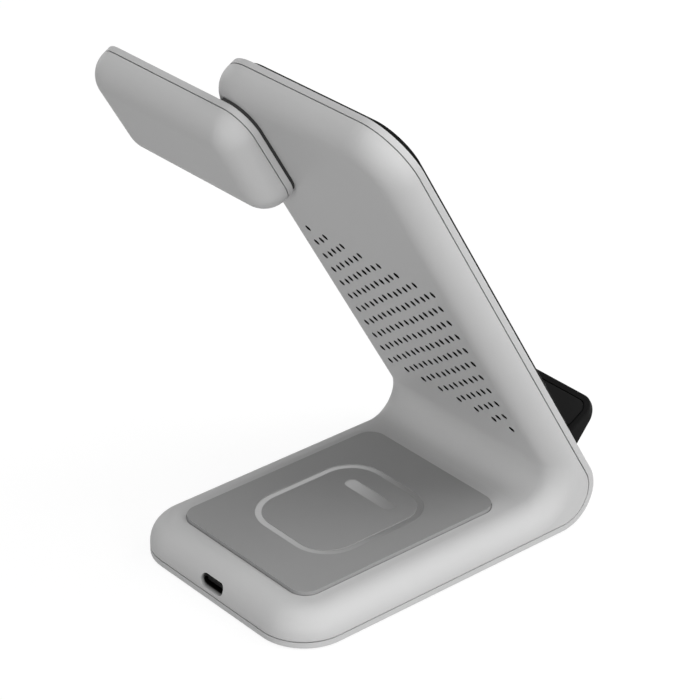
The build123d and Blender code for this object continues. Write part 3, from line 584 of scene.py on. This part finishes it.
def make_soft_mat():
    """Raised mat: its outline, the case's line and the pill are loops that bands of faces join."""
    low, high = (Vector(p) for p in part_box("earbud_mat"))
    middle = (low + high) / 2
    width = high.x - low.x
    length = high.y - low.y
    mark_width = width - 2 * MARK_SIDE
    mark_length = length - 2 * MARK_END
    pill_middle = (middle.x, middle.y - mark_length / 2 + PILL_MARGIN)
    groove = high.z - MARK_DEPTH
    inner = 2 * MARK_LINE
    bm = bmesh.new()
    bed = round_loop(bm, middle, width, length, low.z, MAT_CORNER)
    rim = round_loop(bm, middle, width, length, high.z, MAT_CORNER)
    line_edge = round_loop(bm, middle, mark_width, mark_length, high.z, MARK_CORNER)
    line_foot = round_loop(bm, middle, mark_width, mark_length, groove, MARK_CORNER)
    island = (middle, mark_width - inner, mark_length - inner)
    island_foot = round_loop(bm, *island, groove, MARK_CORNER - MARK_LINE)
    island_edge = round_loop(bm, *island, high.z, MARK_CORNER - MARK_LINE)
    pill = (pill_middle, PILL_WIDTH, PILL_HEIGHT)
    pill_edge = round_loop(bm, *pill, high.z, PILL_CORNER)
    pill_foot = round_loop(bm, *pill, groove, PILL_CORNER)
    fill(bm, bed)
    between(bm, bed, rim)
    fill(bm, rim, line_edge)
    between(bm, line_edge, line_foot)
    glossy = fill(bm, line_foot, island_foot)
    between(bm, island_foot, island_edge)
    fill(bm, island_edge, pill_edge)
    between(bm, pill_edge, pill_foot)
    glossy += fill(bm, pill_foot)
    for face in glossy:
        face.material_index = 1
    bmesh.ops.recalc_face_normals(bm, faces=bm.faces)
    soften(bm, rim, MAT_ROUND, MAT_STEPS)
    soften(bm, line_edge + island_edge + pill_edge, MARK_ROUND, MARK_STEPS)
    return new_piece("soft_mat", bm, [mat_soft, mark_foil])


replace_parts(make_soft_mat(), "earbud_mat")


# Soft strip in the ledge's bed, built level and then set on the leaning plate
STRIP_WIDTH = 67.4 * MM
STRIP_NEAR = 3.15 * MM
STRIP_FAR = 11.6 * MM
STRIP_LOW = 14.0 * MM
STRIP_HIGH = 14.95 * MM
STRIP_CORNER = 3.2 * MM
STRIP_ROUND = 0.35 * MM
STRIP_STEPS = 4


def make_ledge_strip():
    """Strip with round outer corners and a rounded top edge."""
    bm = bmesh.new()
    middle = (0, (STRIP_NEAR + STRIP_FAR) / 2)
    length = STRIP_FAR - STRIP_NEAR
    bed = round_loop(bm, middle, STRIP_WIDTH, length, STRIP_LOW, STRIP_CORNER, square_end=True)
    rim = round_loop(bm, middle, STRIP_WIDTH, length, STRIP_HIGH, STRIP_CORNER, square_end=True)
    fill(bm, bed)
    fill(bm, rim)
    between(bm, bed, rim)
    bmesh.ops.recalc_face_normals(bm, faces=bm.faces)
    soften(bm, rim, STRIP_ROUND, STRIP_STEPS)
    on_ledge = Matrix((Vector((1, 0, 0)), FRONT, UP_SLOPE)).transposed().to_4x4()
    on_ledge.translation = PLATE_FOOT
    bmesh.ops.transform(bm, matrix=on_ledge, verts=bm.verts)
    bmesh.ops.recalc_face_normals(bm, faces=bm.faces)
    return new_piece("ledge_strip", bm, [pad_rubber])


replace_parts(make_ledge_strip(), "ledge_pad")


# Gold contacts on both faces of the socket's tongue
CONTACT_COUNT = 12
CONTACT_PITCH = 0.5 * MM
CONTACT_SIZE = Vector((0.28, 3.4, 0.1)) * MM
CONTACT_SETBACK = 0.5 * MM
CONTACT_ROUND = 0.02 * MM


def make_socket_contacts():
    """Two rows of contact strips, half sunk in the tongue."""
    low, high = (Vector(p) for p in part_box("socket_tongue"))
    bm = bmesh.new()
    for face in (low.z, high.z):
        for place in range(CONTACT_COUNT):
            x = (place - (CONTACT_COUNT - 1) / 2) * CONTACT_PITCH
            spot = Vector((x, high.y - CONTACT_SETBACK - CONTACT_SIZE.y / 2, face))
            size = Matrix.Diagonal(CONTACT_SIZE).to_4x4()
            bmesh.ops.create_cube(bm, size=1.0, matrix=Matrix.Translation(spot) @ size)
    bmesh.ops.bevel(bm, geom=bm.edges, offset=CONTACT_ROUND, offset_type="OFFSET", affect="EDGES", segments=1,
                    profile=0.5, material=-1)
    return new_piece("socket_contacts", bm, [contact_gold])


make_socket_contacts()


# Floor, backdrop and light: the first of two levels is for light rays, the second for what is seen
FLOOR_HALF = 3.0
FLOOR_COLOUR = (0.28, 0.16)
FLOOR_GLOW = (0.0, 0.89)
SKY_STRENGTH = (0.1, 1.0)
TARGET = Vector((0.0, 0.0, 0.06))
BOX_DISTANCE = 1.6
BOX_SIZE = 1.0


def background_rays(tree):
    """1 for rays that see the background as it looks, 0 for rays that carry its light."""
    path = add(tree, "ShaderNodeLightPath").outputs
    seen = math(tree, "MAXIMUM", path["Is Camera Ray"], path["Is Glossy Ray"])
    return math(tree, "MAXIMUM", seen, path["Is Transmission Ray"])


bm = bmesh.new()
bmesh.ops.create_grid(bm, x_segments=1, y_segments=1, size=FLOOR_HALF)
floor_mesh = bpy.data.meshes.new("floor")
bm.to_mesh(floor_mesh)
bm.free()
floor = bpy.data.objects.new("floor", floor_mesh)
scene.collection.objects.link(floor)
floor_paper = bpy.data.materials.new("floor_paper")
floor_paper.use_nodes = True
tree = floor_paper.node_tree
tree.nodes.clear()
seen = background_rays(tree)
paper = add(tree, "ShaderNodeBsdfDiffuse")
tree.links.new(spread(tree, seen, *FLOOR_COLOUR), paper.inputs["Color"])
glow = add(tree, "ShaderNodeEmission")
tree.links.new(spread(tree, seen, *FLOOR_GLOW), glow.inputs["Strength"])
both = add(tree, "ShaderNodeAddShader")
tree.links.new(paper.outputs[0], both.inputs[0])
tree.links.new(glow.outputs[0], both.inputs[1])
tree.links.new(both.outputs[0], add(tree, "ShaderNodeOutputMaterial").inputs["Surface"])
floor_mesh.materials.append(floor_paper)

world = bpy.data.worlds.new("studio")
scene.world = world
world.use_nodes = True
tree = world.node_tree
sky = tree.nodes["Background"]
sky.inputs["Color"].default_value = (1, 1, 1, 1)
tree.links.new(spread(tree, background_rays(tree), *SKY_STRENGTH), sky.inputs["Strength"])

# Softboxes about the object: name, azimuth from +Y towards +X and elevation in degrees, power in watts
softboxes = [
    ("fill_box", 180, 20, 10.0),
    ("wing_box", 90, 5, 6.0),
    ("front_box", 225, 40, 9.2),
    ("side_box", 270, 5, 11.2),
    ("high_box", 300, 62, 4.4),
    ("low_box", 330, 5, 13.6),
    ("top_box", 0, 90, 4.0),
]
for name, azimuth, elevation, power in softboxes:
    lamp = bpy.data.lights.new(name, "AREA")
    lamp.shape = "DISK"
    lamp.size = BOX_SIZE
    lamp.energy = power
    box = bpy.data.objects.new(name, lamp)
    turn, rise = radians(azimuth), radians(elevation)
    away = Vector((sin(turn) * cos(rise), cos(turn) * cos(rise), sin(rise)))
    box.location = TARGET + away * BOX_DISTANCE
    box.rotation_euler = (-away).to_track_quat("-Z", "Y").to_euler()
    box.visible_camera = False
    scene.collection.objects.link(box)
